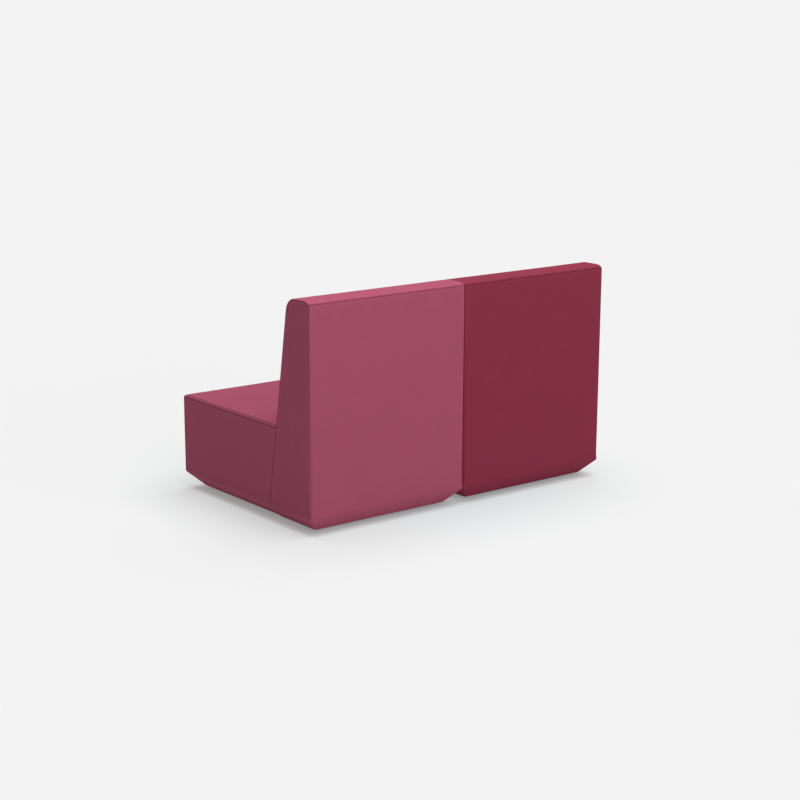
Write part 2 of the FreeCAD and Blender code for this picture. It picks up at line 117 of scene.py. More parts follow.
# Dust cloths: spacing of the mesh, thickness, place under the top of their space, and slack.
SHEET_STEP = 0.03
SHEET_THICK = 0.0005
SHEET_DROP = 0.0004
SLACK_DEPTH = 0.00012
SLACK_REACH = 0.05
SLACK_WAVES = 9
SLACK_SLICE = 0.3

# Timber: name of the finish, dark and light colour, scale of the grain along each axis, and pieces.
TIMBERS = (
    ("birch_plywood", (0.38, 0.24, 0.11, 1), (0.68, 0.50, 0.29, 1), (3.0, 40.0, 160.0),
     ("seat_front_rail", "seat_rear_rail", "seat_left_rail", "seat_right_rail", "back_left_post",
      "back_right_post", "back_top_rail", "back_bolt_rail")),
    ("planed_pine", (0.46, 0.27, 0.11, 1), (0.74, 0.53, 0.28, 1), (4.0, 60.0, 60.0),
     ("seat_plinth", "back_plinth", "seat_corner_blocks")),
    ("brown_hardboard", (0.10, 0.055, 0.028, 1), (0.18, 0.10, 0.05, 1), (60.0, 60.0, 60.0),
     ("back_rear_panel",)),
)

WHITE = (1, 1, 1, 1)
SENSOR_WIDTH = 36.0


def metres(name, description, default):
    """Property for a length."""
    return FloatProperty(name=name, description=description, default=default, unit="LENGTH")


def degrees(name, description, default):
    """Property for an angle, with its default in degrees."""
    return FloatProperty(name=name, description=description, default=math.radians(default), subtype="ANGLE")


def share(name, description, default):
    """Property for a value from 0 to 1."""
    return FloatProperty(name=name, description=description, default=default, min=0, max=1)


class SofaSizes(bpy.types.PropertyGroup):
    """Sizes of the two upholstered blocks of a module, in metres."""

    module_width: metres("Module width", "Width of one module", BACK_HIGH.x - BACK_LOW.x)
    module_centre: metres("Module centre", "Distance of a module's middle from the joint",
                          (BACK_HIGH.x + BACK_LOW.x) / 2)
    base: metres("Base height", "Underside of the covers above the floor", BACK_LOW.z)
    back_height: metres("Back height", "Top of the back above the base", BACK_HIGH.z - BACK_LOW.z)
    seat_crown: metres("Seat crown", "Rise of the seat's middle over its edges", 0.006)
    crown_reach: metres("Crown reach", "Distance over which the seat's crown rises", 0.230)
    bevel_height: metres("Bevel height", "Height of the bevelled foot", 0.060)
    back_bevel: metres("Back bevel", "Inset of the back's foot", 0.057)
    seat_bevel: metres("Seat bevel", "Inset of the seat's foot", 0.062)
    fold: metres("Bevel fold", "Half height of the soft fold over the bevel", 0.005)
    lean: degrees("Lean", "Lean of the back's front face", 9.5)
    joint_gap: metres("Joint gap", "Room between seat and back", 0.0006)
    corner: metres("Corner radius", "Rounding of the upright edges", 0.004)
    foot_corner: metres("Foot corner radius", "Rounding that the back's rear edges reach at the foot", 0.016)
    plinth_corner: metres("Plinth corner radius", "Rounding of the back's rear edges over the plinth", 0.0078)
    corner_growth: FloatProperty(name="Corner growth", default=0.3,
                                 description="How fast the rear edges' rounding grows above the plinth")
    wrap: metres("Wrap thickness", "Thickness of the foam round the back's frame", 0.010)
    ease: metres("Ease", "How far the covers stand out over the module's width", 0.0014)
    press: metres("Press", "How far the padding may push a side out", 0.00006)
    back_front_round: metres("Back front rounding", "Rounding of the back's front top edge", 0.050)
    back_fold: degrees("Back rear fold", "Angle of the fold at the back's rear seam", 49)
    back_draw: metres("Back rear draw", "How far the rear seam draws the cover in", 0.0012)
    back_end_round: metres("Back end rounding", "Rounding of the back's end top edges", 0.004)
    seat_front_round: metres("Seat front rounding", "Rounding of the seat's front top edge", 0.015)
    seat_side_round: metres("Seat side rounding", "Rounding of the seat's side top edges", 0.011)
    cloth: metres("Cover thickness", "Thickness of the sewn cover", 0.002)
    hem: metres("Hem", "Width of the cover's hem under the base", 0.025)
    mesh_step: metres("Mesh step", "Spacing of the mesh on plain faces", 0.018)
    # Painted highlight: lightens the back's rear face towards its top, where light from above falls.
    rear_top_highlight: share("Sun fade", "Fading of the back's rear towards its top", 0.35)
    swell: metres("Swell", "Furthest that the padding pushes a panel out", 0.0045)


class SofaSewing(bpy.types.PropertyGroup):
    """Seams and stitches."""

    rear_seam: metres("Rear seam", "Height of the back's rear seam above the base", 0.8952)
    rear_depth: metres("Rear seam depth", "Depth of the rear seam's groove", 0.0030)
    rear_width: metres("Rear seam width", "Half width of the rear seam's groove", 0.0036)
    # Painted shade: how dark the rear seam's groove is painted into the cover's colour.
    rear_shade: FloatProperty(name="Rear seam shade", default=1.3,
                              description="Darkness of the rear seam's groove")
    end_seam: metres("End seam", "Distance of the end panels' seams from the edge", 0.0045)
    end_depth: metres("End seam depth", "Depth of the end panels' seams at the rear", 0.0003)
    seat_seam: metres("Seat seam", "Drop of the seat's side seam below its top edge", 0.0104)
    top_stitch: metres("Top stitching", "Distance of the seat's top stitching from the side", 0.0078)
    seam_depth: metres("Seam depth", "Depth of a seam's groove", 0.0022)
    seam_width: metres("Seam width", "Half width of a seam's groove", 0.0023)
    # Painted shade: how dark a seam's groove is painted into the cover's colour.
    seam_shade: FloatProperty(name="Seam shade", default=0.95, description="Darkness of a seam's groove")
    stitch_depth: metres("Stitching depth", "Depth of the top stitching's groove", 0.0016)
    stitch_width: metres("Stitching width", "Half width of the top stitching's groove", 0.0025)
    # Painted shade: how dark the top stitching's groove is painted into the cover's colour.
    stitch_shade: FloatProperty(name="Stitching shade", default=1.6,
                                description="Darkness of the top stitching's groove")
    stitch_length: metres("Stitch length", "Length of one stitch", 0.0060)
    stitch_pitch: metres("Stitch pitch", "Distance from stitch to stitch", 0.0080)
    thread: metres("Thread", "Radius of the sewing thread", 0.0005)


class SofaFinish(bpy.types.PropertyGroup):
    """Colours and scales of the finishes."""

    rose: FloatVectorProperty(name="Rose", description="Colour of the rose fabric", subtype="COLOR",
                              default=(0.395, 0.0855, 0.143), min=0, max=1)
    burgundy: FloatVectorProperty(name="Burgundy", description="Colour of the burgundy fabric",
                                  subtype="COLOR", default=(0.2535, 0.0329, 0.0616), min=0, max=1)
    cloth_black: FloatVectorProperty(name="Dust cloth", description="Colour of the dust cloths",
                                     subtype="COLOR", default=(0.012, 0.012, 0.013), min=0, max=1)
    weave: metres("Weave pitch", "Width of one yarn in the fabric", 0.0022)


class SofaStage(bpy.types.PropertyGroup):
    """Camera, light and floor."""

    eye: FloatVectorProperty(name="Eye", description="Place of the camera", subtype="XYZ", unit="LENGTH",
                             default=(4.492, 5.8445, 2.0587))
    heading: degrees("Heading", "Direction of view in plan, from +X towards +Y", 232.255)
    pitch: degrees("Pitch", "Downward tilt of the view", 13.02)
    view_angle: degrees("View angle", "Width of the view", 25.225)
    sky: FloatProperty(name="Sky", description="Brightness of the light from all round", default=0.02)
    lamp: FloatProperty(name="Lamp", description="Brightness of the wide soft lamp above", default=2.78)
    lamp_from: FloatVectorProperty(name="Lamp from", description="Direction that the lamp shines from",
                                   subtype="XYZ", default=(-0.18, 0.04, 1.0))
    lamp_angle: degrees("Lamp softness", "Angle that the lamp fills", 70)
    fill: FloatProperty(name="Fill", description="Brightness of the low light behind the sofa", default=0.97)
    fill_from: FloatVectorProperty(name="Fill from", description="Direction that the fill shines from",
                                   subtype="XYZ", default=(-0.04, 1.0, 0.36))
    fill_angle: degrees("Fill softness", "Angle that the fill light fills", 60)
    paper: share("Background", "Brightness of the background", 0.896)
    floor: share("Floor", "Brightness of the floor", 0.488)
    clouding: share("Clouding", "Unevenness of the floor", 0.01)
    bounce: share("Bounce", "Share of light that the floor throws back on the object", 0.60)
    underlight: share("Underlight", "Light that the floor itself gives the object's foot", 0.19)
    shade: share("Shade", "Brightness of the floor in full shade", 0.410)
    contact: metres("Contact", "Reach of the deeper shade beside the object's foot", 0.055)
    contact_depth: share("Contact depth", "Darkness of the shade beside the object's foot", 0.45)
    cast: share("Cast", "Red left out of the floor where the covers redden it", 0.40)
    cast_reach: metres("Cast reach", "Distance at which the reddening ends", 1.5)
    floor_radius: metres("Floor radius", "Reach of the floor", 40.0)
    floor_sides: IntProperty(name="Floor sides", description="Corners of the floor's outline", default=96)


class Wire:
    """A shader socket that can be written into sums."""

    def __init__(self, tree, socket=None):
        self.tree = tree
        self.socket = socket

    def join(self, target, value):
        """Link or set one input."""
        if isinstance(value, Wire):
            self.tree.links.new(value.socket, target)
        else:
            target.default_value = value

    def node(self, kind, settings=None, sockets=None, out=0):
        """Add a node: its settings first, then the values or links of its sockets."""
        made = self.tree.nodes.new("ShaderNode" + kind)
        for key, value in (settings or {}).items():
            setattr(made, key, value)
        for key, value in (sockets or {}).items():
            self.join(made.inputs[key], value)
        return Wire(self.tree, made.outputs[out] if made.outputs else None)

    def maths(self, operation, first, second=0.0):
        """Add one Math node."""
        return self.node("Math", {"operation": operation}, {0: first, 1: second})

    def __add__(self, other):
        return self.maths("ADD", self, other)

    __radd__ = __add__

    def __sub__(self, other):
        return self.maths("SUBTRACT", self, other)

    def __rsub__(self, other):
        return self.maths("SUBTRACT", other, self)

    def __mul__(self, other):
        return self.maths("MULTIPLY", self, other)

    __rmul__ = __mul__

    def __truediv__(self, other):
        return self.maths("DIVIDE", self, other)

    def __abs__(self):
        return self.maths("ABSOLUTE", self)

    def sine(self):
        """Sine of the value."""
        return self.maths("SINE", self)

    def most(self, other):
        """The greater of two values."""
        return self.maths("MAXIMUM", self, other)

    def part(self, axis):
        """One coordinate of the place that this wire holds."""
        return self.node("SeparateXYZ", None, {0: self}, axis)

    def noise(self, scale, detail=2.0, rough=0.5):
        """Cloudy pattern over the place that this wire holds, about 0.5."""
        return self.node("TexNoise", {"noise_dimensions": "3D"},
                         {"Vector": self, "Scale": scale, "Detail": detail, "Roughness": rough}, "Fac")

    def stretched(self, by):
        """Place scaled by a different factor along each axis."""
        return self.node("VectorMath", {"operation": "MULTIPLY"}, {0: self, 1: by})

    def tint(self, first, second):
        """Colour between two colours, by this value."""
        return self.node("Mix", {"data_type": "RGBA"}, {"Factor": self, 6: first, 7: second}, 2)

    def dyed(self, colour):
        """A colour made lighter or darker by this value."""
        grey = self.node("CombineColor", None, {0: self, 1: self, 2: self})
        return self.node("Mix", {"data_type": "RGBA", "blend_type": "MULTIPLY"},
                         {"Factor": 1.0, 6: colour, 7: grey}, 2)

    def bump(self, depth, strength=1.0):
        """Normal of a surface whose height follows this value."""
        return self.node("Bump", None, {"Height": self, "Distance": depth, "Strength": strength})


def blank(name):
    """A new node material and the wire to build it with."""
    made = bpy.data.materials.new(name)
    made.use_nodes = True
    made.node_tree.nodes.clear()
    return made, Wire(made.node_tree)


def object_place(wire):
    """Where a point of the surface lies on its piece."""
    return wire.node("TexCoord", None, None, "Object")


def woven_turns(wire, pitch):
    """The weave's two coordinates, as half turns per yarn or dot."""
    flat = wire.node("UVMap", {"uv_map": "weave"})
    return [flat.part(axis) * (math.pi / pitch) for axis in (0, 1)]


def surface(wire, sockets):
    """Close a material with one surface shader."""
    shader = wire.node("BsdfPrincipled", None, sockets)
    wire.node("OutputMaterial", None, {"Surface": shader})


def shaded(colour, level):
    """A colour made lighter or darker, as a node's value."""
    return (colour[0] * level, colour[1] * level, colour[2] * level, 1.0)


def fabric(name, colour, pitch):
    """Matt woven wool: plain weave, slubs, a mottled dye, rubbed edges, a painted highlight on the back's top
    and up its rear, and painted shade along the seams.
    """
    made, wire = blank(name)
    across, along = woven_turns(wire, pitch)
    over = across.sine() * along.sine() * 0.5 + 0.5
    warp = abs(across.sine()) * over
    weft = abs(along.sine()) * (1 - over)
    yarn = warp.most(weft)
    place = object_place(wire)
    slub = place.stretched((90.0, 90.0, 420.0)).noise(1.0, detail=3.0)
    mottle = place.noise(14.0, detail=3.0, rough=0.6)
    # Painted highlight on the back's top and up its rear, together with the rubbed strip beside the seams.
    rubbed_and_highlit = wire.node("Attribute", {"attribute_name": "rub"}, None, "Fac")
    # Painted shade along the seams' grooves, taken off the colour.
    sewn = wire.node("Attribute", {"attribute_name": "seam"}, None, "Fac")
    light = 0.80 + yarn * 0.14 + slub * 0.14 + mottle * 0.12 + rubbed_and_highlit * 0.22 - sewn * 0.52
    surface(wire, {"Base Color": light.dyed(shaded(colour, 1.0)), "Roughness": 0.96 - yarn * 0.10,
                   "Specular IOR Level": 0.10, "Sheen Weight": 0.03, "Sheen Roughness": 0.45,
                   "Sheen Tint": shaded(colour, 1.6),
                   "Normal": (yarn + slub * 0.4).bump(0.0004, strength=0.35)})
    return made


def thread_finish(name, colour):
    """Twisted sewing thread, a little darker than the fabric."""
    made, wire = blank(name)
    twist = object_place(wire).noise(900.0, detail=1.0)
    surface(wire, {"Base Color": twist.tint(shaded(colour, 0.55), shaded(colour, 0.95)),
                   "Roughness": 0.6 + twist * 0.2, "Normal": twist.bump(0.0003, strength=0.4)})
    return made


def spunbond(name, colour, pitch=0.0016):
    """Thin black bonded cloth with a pressed dot pattern."""
    made, wire = blank(name)
    across, along = woven_turns(wire, pitch)
    dots = abs(across.sine() * along.sine())
    fibre = object_place(wire).noise(60.0, detail=4.0, rough=0.7)
    pattern = fibre * 0.7 + dots * 0.3
    surface(wire, {"Base Color": pattern.tint(shaded(colour, 0.7), shaded(colour, 2.2)),
                   "Roughness": 0.75 + fibre * 0.2, "Normal": (dots + fibre).bump(0.0003, strength=0.4)})
    return made


def timber(name, dark, light, grain):
    """Raw wood with grain along one axis and a little planing sheen."""
    made, wire = blank(name)
    place = object_place(wire).stretched(grain)
    drift = place.noise(0.35, detail=2.0)
    rings = (place.part(2) * 1.3 + place.noise(0.9, detail=3.0) * 7.0 + drift * 5.0).sine()
    pores = place.noise(9.0, detail=3.0, rough=0.65)
    figure = rings * 0.22 + pores * 0.5 + drift * 0.3
    surface(wire, {"Base Color": figure.tint(dark, light), "Roughness": 0.62 + pores * 0.2,
                   "Normal": (pores + rings * 0.2).bump(0.0005, strength=0.3)})
    return made


def foam_finish(name):
    """Open-cell cream foam."""
    made, wire = blank(name)
    place = object_place(wire)
    cells = place.node("TexVoronoi", {"feature": "F1"}, {"Vector": place, "Scale": 420.0}, "Distance")
    cloud = place.noise(18.0, detail=3.0)
    cream = (cloud * 0.6 + cells * 0.5).tint((0.62, 0.52, 0.33, 1), (0.86, 0.78, 0.58, 1))
    surface(wire, {"Base Color": cream, "Roughness": 0.85 + cells * 0.1,
                   "Normal": cells.bump(0.0008, strength=0.6)})
    return made


def webbing_finish(name, turn_per_metre=1100.0):
    """Dark elastic webbing with a fine rib both ways, whose wave turns by so many radians per metre."""
    made, wire = blank(name)
    place = object_place(wire)
    ribs = abs((place.part(0) * turn_per_metre).sine() * (place.part(1) * turn_per_metre).sine())
    wear = place.noise(40.0, detail=3.0)
    grey = (ribs * 0.6 + wear * 0.4).tint((0.012, 0.012, 0.013, 1), (0.06, 0.058, 0.055, 1))
    surface(wire, {"Base Color": grey, "Roughness": 0.7 + wear * 0.2,
                   "Normal": ribs.bump(0.0006, strength=0.5)})
    return made


def zinc_finish(name):
    """Zinc-plated steel: bluish, finely brushed, with cloudy passivation."""
    made, wire = blank(name)
    place = object_place(wire)
    cloud = place.noise(70.0, detail=4.0, rough=0.6)
    brushed = place.stretched((900.0, 60.0, 60.0)).noise(1.0, detail=2.0)
    surface(wire, {"Base Color": cloud.tint((0.50, 0.51, 0.53, 1), (0.74, 0.74, 0.72, 1)), "Metallic": 1.0,
                   "Roughness": 0.26 + cloud * 0.2 + brushed * 0.08,
                   "Normal": brushed.bump(0.0002, strength=0.2)})
    return made


def glide_finish(name):
    """Moulded black plastic with a fine spark-eroded grain and scuffs."""
    made, wire = blank(name)
    place = object_place(wire)
    grain = place.noise(1400.0, detail=2.0)
    scuff = place.noise(160.0, detail=4.0, rough=0.7)
    surface(wire, {"Base Color": scuff.tint((0.008, 0.008, 0.009, 1), (0.045, 0.044, 0.043, 1)),
                   "Roughness": 0.42 + scuff * 0.3,
                   "Normal": (grain + scuff * 0.3).bump(0.0002, strength=0.4)})
    return made


def seen_rays(wire):
    """1 for what the camera sees, also in mirrors and through glass, and 0 for light on the object."""
    camera, glossy, through = (wire.node("LightPath", None, None, name)
                               for name in ("Is Camera Ray", "Is Glossy Ray", "Is Transmission Ray"))
    return camera.most(glossy).most(through)


def round_in(radius, below_top):
    """How far a rounded top edge draws its wall in, a given depth below the top."""
    if below_top >= radius:
        return 0.0
    return radius - math.sqrt(radius ** 2 - (radius - below_top) ** 2)


def arc(centre, radius, start, stop):
    """Points on an arc in a side view, angles in degrees from +Y towards +Z."""
    points = []
    for index in range(ARC_CELLS + 1):
        turn = math.radians(start + (stop - start) * index / ARC_CELLS)
        points.append((centre[0] + radius * math.cos(turn), centre[1] + radius * math.sin(turn)))
    return points


def even(start, stop, step):
    """Values from start to stop in equal steps of about the given size."""
    cells = max(1, round(abs(stop - start) / step))
    return [start + (stop - start) * index / cells for index in range(cells + 1)]


class Block:
    """What a module's seat and back have in common: outlines level by level, seams and padding."""

    def __init__(self, sizes, sewing):
        self.sizes = sizes
        self.sewing = sewing
        self.half = sizes.module_width / 2 + sizes.ease

    def bevel_in(self, height, bevel):
        """Inset of the bevelled foot, with its soft fold into the upright wall."""
        s = self.sizes
        slope = bevel / s.bevel_height
        rest = s.bevel_height - height
        if rest >= s.fold:
            return slope * rest
        if rest <= -s.fold:
            return 0.0
        return slope * (rest + s.fold) ** 2 / (4 * s.fold)

    def corners(self, height):
        """Radii of the front and the rear upright edges at a height."""
        return self.sizes.corner, self.sizes.corner

    def painted_highlight(self, point, normal):
        """How much painted highlight lightens the cover, from 0 to 1: none on this block."""
        return 0.0

    def rise(self, x, y):
        """Height of the top panel over its edge."""
        return 0.0

    def joint(self, height):
        """Y of the back's leaning front face."""
        return BACK_LOW.y + height * math.tan(self.sizes.lean)

    def levels(self, seams, step):
        """All heights of mesh rows, closer together at the fold, the rounding and the seams."""
        s = self.sizes
        foot = list(FOOT_ROWS) + [s.bevel_height + s.fold * place for place in FOLD_ROWS]
        head = [self.top - self.largest_round * drop for drop in ROUND_ROWS]
        rows = foot + even(foot[-1], head[0], step)[1:-1] + head
        for seam in seams:
            rows = [row for row in rows if abs(row - seam) > SEAM_CLEAR]
            rows += [seam + offset for offset in SEAM_ROWS]
        return sorted(rows)

    def seam_points(self):
        """Points close together along every seam, with the depth, half width and shade of their groove.

        The depth changes along the seam, and the shade with it.
        """
        points = []
        for line, start, stop, width, shade in self.seams():
            for place, (first, second) in enumerate(zip(line, line[1:])):
                depth = start + (stop - start) * place / len(line)
                groove = (depth, width, shade * depth / max(start, stop))
                steps = max(1, math.ceil((second - first).length / MARK_STEP))
                points += [(first.lerp(second, index / steps), groove) for index in range(steps)]
        return points


class BackBlock(Block):
    """The wedge-shaped back."""

    def __init__(self, sizes, sewing):
        super().__init__(sizes, sewing)
        self.top = sizes.back_height
        self.largest_round = sizes.back_front_round
        self.rows = (sewing.rear_seam,)
        self.seam_drop = self.top - sewing.rear_seam
        self.arch = self.seam_drop / (1 - math.sin(sizes.back_fold))

    def outline(self, height):
        """Half width, front and rear of the level outline at a height above the base."""
        s = self.sizes
        wall = self.bevel_in(height, s.back_bevel)
        below = self.top - height
        return (self.half - wall - round_in(s.back_end_round, below),
                self.joint(height) + round_in(s.back_front_round, below),
                BACK_HIGH.y - wall - self.rear_in(below))

    def corners(self, height):
        """Radii of the front and the rear upright edges: the rear ones grow towards the plinth."""
        s = self.sizes
        padded = s.corner + (s.foot_corner - s.corner) * (1 - height / self.top)
        above = max(0.0, height + s.base - WRAP_LOW.z)
        return s.corner, min(padded, s.plinth_corner + above * s.corner_growth)

    def painted_highlight(self, point, normal):
        """Painted highlight: the cover is lighter on upward faces and towards the top of its rear face, where
        light from above falls.
        """
        rear_highlight = self.sizes.rear_top_highlight * max(0.0, normal.y) * (point.z / self.top) ** 2
        return rear_highlight + max(0.0, normal.z) ** 2

    def rear_in(self, below):
        """How far the rear stands in: drawn in towards its seam, then folded over into an arched top."""
        s = self.sizes
        if below >= self.seam_drop:
            return s.back_draw * max(0.0, 2 - below / self.seam_drop)
        lift = 1 - below / self.arch
        return s.back_draw + self.arch * (math.cos(s.back_fold) - math.sqrt(1 - lift ** 2))

    def seams(self):
        """Seam lines: round both end panels and along the rear top edge."""
        s, sew = self.sizes, self.sewing
        edge = sew.end_seam
        front_top = self.top - s.back_front_round
        rear_edge = edge - s.corner
        side = [(self.outline(height)[2] - self.corners(height)[1] - rear_edge, height)
                for height in even(0.0, sew.rear_seam - edge, LINE_STEP)]
        centre = BACK_HIGH.y - s.back_draw - self.arch * math.cos(s.back_fold)
        side += arc((centre, self.top - self.arch), self.arch - edge, math.degrees(s.back_fold), 90)
        front = self.joint(self.top) + s.back_front_round
        side += arc((front, front_top), s.back_front_round - edge, 90, 180)
        side += [(self.joint(height) + edge, height) for height in even(front_top, 0.0, LINE_STEP)]
        lines = []
        for way in (-1, 1):
            end = [Vector((way * self.outline(z)[0], y, z)) for y, z in side]
            lines.append((end, sew.end_depth, sew.seam_depth, sew.seam_width, sew.seam_shade))
        reach = self.half - s.corner
        rear = self.outline(sew.rear_seam)[2]
        across = [Vector((x, rear, sew.rear_seam)) for x in (-reach, reach)]
        lines.append((across, sew.rear_depth, sew.rear_depth, sew.rear_width, sew.rear_shade))
        return lines

    def freedom(self, point, normal):
        """How freely the padding pushes the cover out: not against the seat, little against a neighbour."""
        free = 1 - SIDE_HOLD * abs(normal.x)
        if normal.y < -0.5:
            above = (point.z + self.sizes.base - SEAT_HIGH.z - SEAT_REST) / SEAT_FREE
            free *= max(0.0, min(1.0, above))
        return free


class SeatBlock(Block):
    """The seat."""

    def __init__(self, sizes, sewing):
        super().__init__(sizes, sewing)
        self.top = SEAT_HIGH.z - SEAT_LOW.z - sizes.seat_crown
        self.largest_round = sizes.seat_front_round
        self.rows = (self.top - sewing.seat_seam,)

    def outline(self, height):
        """Half width, front and rear of the level outline at a height above the base."""
        s = self.sizes
        wall = self.bevel_in(height, s.seat_bevel)
        below = self.top - height
        side = round_in(s.seat_side_round, below)
        return (self.half - wall - side,
                SEAT_LOW.y + wall + round_in(s.seat_front_round, below),
                self.joint(height) - s.joint_gap / math.cos(s.lean) - side)

    def rise(self, x, y):
        """Height of the crowned top over its edge."""
        s = self.sizes
        half, front, rear = self.outline(self.top)
        crown = 1.0
        for inside in (half - abs(x), min(y - front, rear - y)):
            crown *= 1 - (1 - max(0.0, min(1.0, inside / s.crown_reach))) ** 2
        return s.seat_crown * crown

    def side_line(self, edge):
        """Line in the side view that keeps a distance from the seat's top and front edge."""
        s = self.sizes
        front = SEAT_LOW.y + s.seat_front_round
        front_top = self.top - s.seat_front_round
        rear = self.outline(self.top - edge)[2]
        line = [(y, self.top - edge) for y in even(rear, front, LINE_STEP)]
        line += arc((front, front_top), s.seat_front_round - edge, 90, 180)
        line += [(self.outline(height)[1] + edge, height) for height in even(front_top, 0.0, LINE_STEP)]
        return line

    def stitch_line(self, way):
        """Line of the top stitching on one side, over the top and down the front."""
        s, sew = self.sizes, self.sewing
        x = way * (self.half - sew.top_stitch)
        drop = round_in(s.seat_side_round, sew.top_stitch)
        radius = s.seat_front_round
        front = SEAT_LOW.y + radius
        line = [(y, self.top - drop) for y in even(self.outline(self.top)[2], front, LINE_STEP)]
        line += arc((front, self.top - radius), radius - drop, 90, 180)
        line += [(SEAT_LOW.y, z) for z in even(self.top - radius, s.bevel_height * STITCH_END, LINE_STEP)]
        return [Vector((x, y, z + self.rise(x, y))) for y, z in line]

    def seams(self):
        """Seam lines: along both side panels, with top stitching beside them."""
        sew = self.sewing
        lines = []
        for way in (-1, 1):
            side = [Vector((way * self.outline(z)[0], y, z)) for y, z in self.side_line(sew.seat_seam)]
            lines.append((side, sew.seam_depth, sew.seam_depth, sew.seam_width, sew.seam_shade))
            lines.append((self.stitch_line(way), sew.stitch_depth, sew.stitch_depth * STITCH_FADE,
                          sew.stitch_width, sew.stitch_shade))
        return lines

    def freedom(self, point, normal):
        """How freely the padding pushes the cover out: not against the back, little against a neighbour."""
        if normal.y > 0.5:
            return 0.0
        return 1 - SIDE_HOLD * abs(normal.x)


def run_stops(run, ends, cells):
    """Distances along a straight run: close together near both ends, even between."""
    inner = [ends[-1] + (run - 2 * ends[-1]) * index / cells for index in range(1, cells)]
    return list(ends) + inner + [run - end for end in reversed(ends)]


def ring(half, front, rear, radii, z, ends, cells):
    """Closed level outline with rounded corners, as points from the front left corner onwards."""
    near, far = radii
    corners = ((near - half, front + near, near), (half - near, front + near, near),
               (half - far, rear - far, far), (far - half, rear - far, far))
    runs = (((1, 0), (0, -1)), ((0, 1), (1, 0)), ((-1, 0), (0, 1)), ((0, -1), (-1, 0)))
    turns = [math.radians(45 * index / HALF_CORNER_CELLS) for index in range(HALF_CORNER_CELLS + 1)]
    points = []
    for place, (along, out) in enumerate(runs):
        along, out = Vector(along), Vector(out)
        *start, radius = corners[place]
        *stop, next_radius = corners[(place + 1) % 4]
        start, stop = Vector(start), Vector(stop)
        for turn in turns[:0:-1]:
            points.append(start + (out * math.cos(turn) - along * math.sin(turn)) * radius)
        for step in run_stops((stop - start).dot(along), ends, cells[place % 2]):
            points.append(start + out * radius + along * step)
        for turn in turns[1:-1]:
            points.append(stop + (out * math.cos(turn) + along * math.sin(turn)) * next_radius)
    return [Vector((point.x, point.y, z)) for point in points]


def ring_faces(rows, count, first=0):
    """Four-sided faces between rows of points, each of which closes on itself."""
    faces = []
    for low in range(first, first + (rows - 1) * count, count):
        for place in range(count):
            beside = (place + 1) % count
            faces.append((low + place, low + beside, low + count + beside, low + count + place))
    return faces


def skin(block, step, ends, seams):
    """Points and faces of a block's outer skin, open inside the hem under the base."""
    s = block.sizes
    half, front, rear = block.outline(block.top / 2)
    cells = (round((2 * half - 2 * ends[-1]) / step), round((rear - front - 2 * ends[-1]) / step))
    rings = []
    half, front, rear = block.outline(0.0)
    for inset in (s.hem, s.hem / 3, HEM_STRIP):
        rings.append(ring(half - inset, front + inset, rear - inset, block.corners(0.0), 0.0, ends, cells))
    for height in block.levels(seams, step):
        half, front, rear = block.outline(height)
        radii = block.corners(height)
        if height == 0.0:
            half, front, rear = half - HEM_TURN, front + HEM_TURN, rear - HEM_TURN
            height = HEM_TURN / 2
        rings.append(ring(half, front, rear, radii, height, ends, cells))
    count = len(rings[0])
    points = [point for row in rings for point in row]
    faces = ring_faces(len(rings), count)
    close_top(block, points, faces, (len(rings) - 1) * count, count, cells, len(ends))
    return points, faces, count


def close_top(block, points, faces, first, count, cells, ends):
    """Fill the top row with a grid of four-sided faces that follows the crown."""
    wide = cells[0] + 2 * (ends - 1) + 2 * HALF_CORNER_CELLS
    deep = count // 2 - wide
    grid = {}
    for i in range(wide + 1):
        grid[i, 0] = first + i
        grid[i, deep] = first + wide + deep + (wide - i)
    for j in range(1, deep):
        grid[wide, j] = first + wide + j
        grid[0, j] = first + count - j
    for i in range(1, wide):
        for j in range(1, deep):
            back = j / deep
            x = points[grid[i, 0]].x * (1 - back) + points[grid[i, deep]].x * back
            right = i / wide
            y = points[grid[0, j]].y * (1 - right) + points[grid[wide, j]].y * right
            grid[i, j] = len(points)
            points.append(Vector((x, y, block.top + block.rise(x, y))))
    for i in range(wide):
        for j in range(deep):
            faces.append((grid[i, j], grid[i + 1, j], grid[i + 1, j + 1], grid[i, j + 1]))


def tree_of(places):
    """Search tree over a list of points."""
    tree = kdtree.KDTree(len(places))
    for index, place in enumerate(places):
        tree.insert(place, index)
    tree.balance()
    return tree


def mesh_object(name, points, faces):
    """New smooth mesh object in the scene."""
    mesh = bpy.data.meshes.new(name)
    mesh.from_pydata(points, [], faces)
    mesh.shade_smooth()
    made = bpy.data.objects.new(name, mesh)
    bpy.context.scene.collection.objects.link(made)
    return made


def discard(made):
    """Remove a helper object and its mesh."""
    mesh = made.data
    bpy.data.objects.remove(made)
    bpy.data.meshes.remove(mesh)


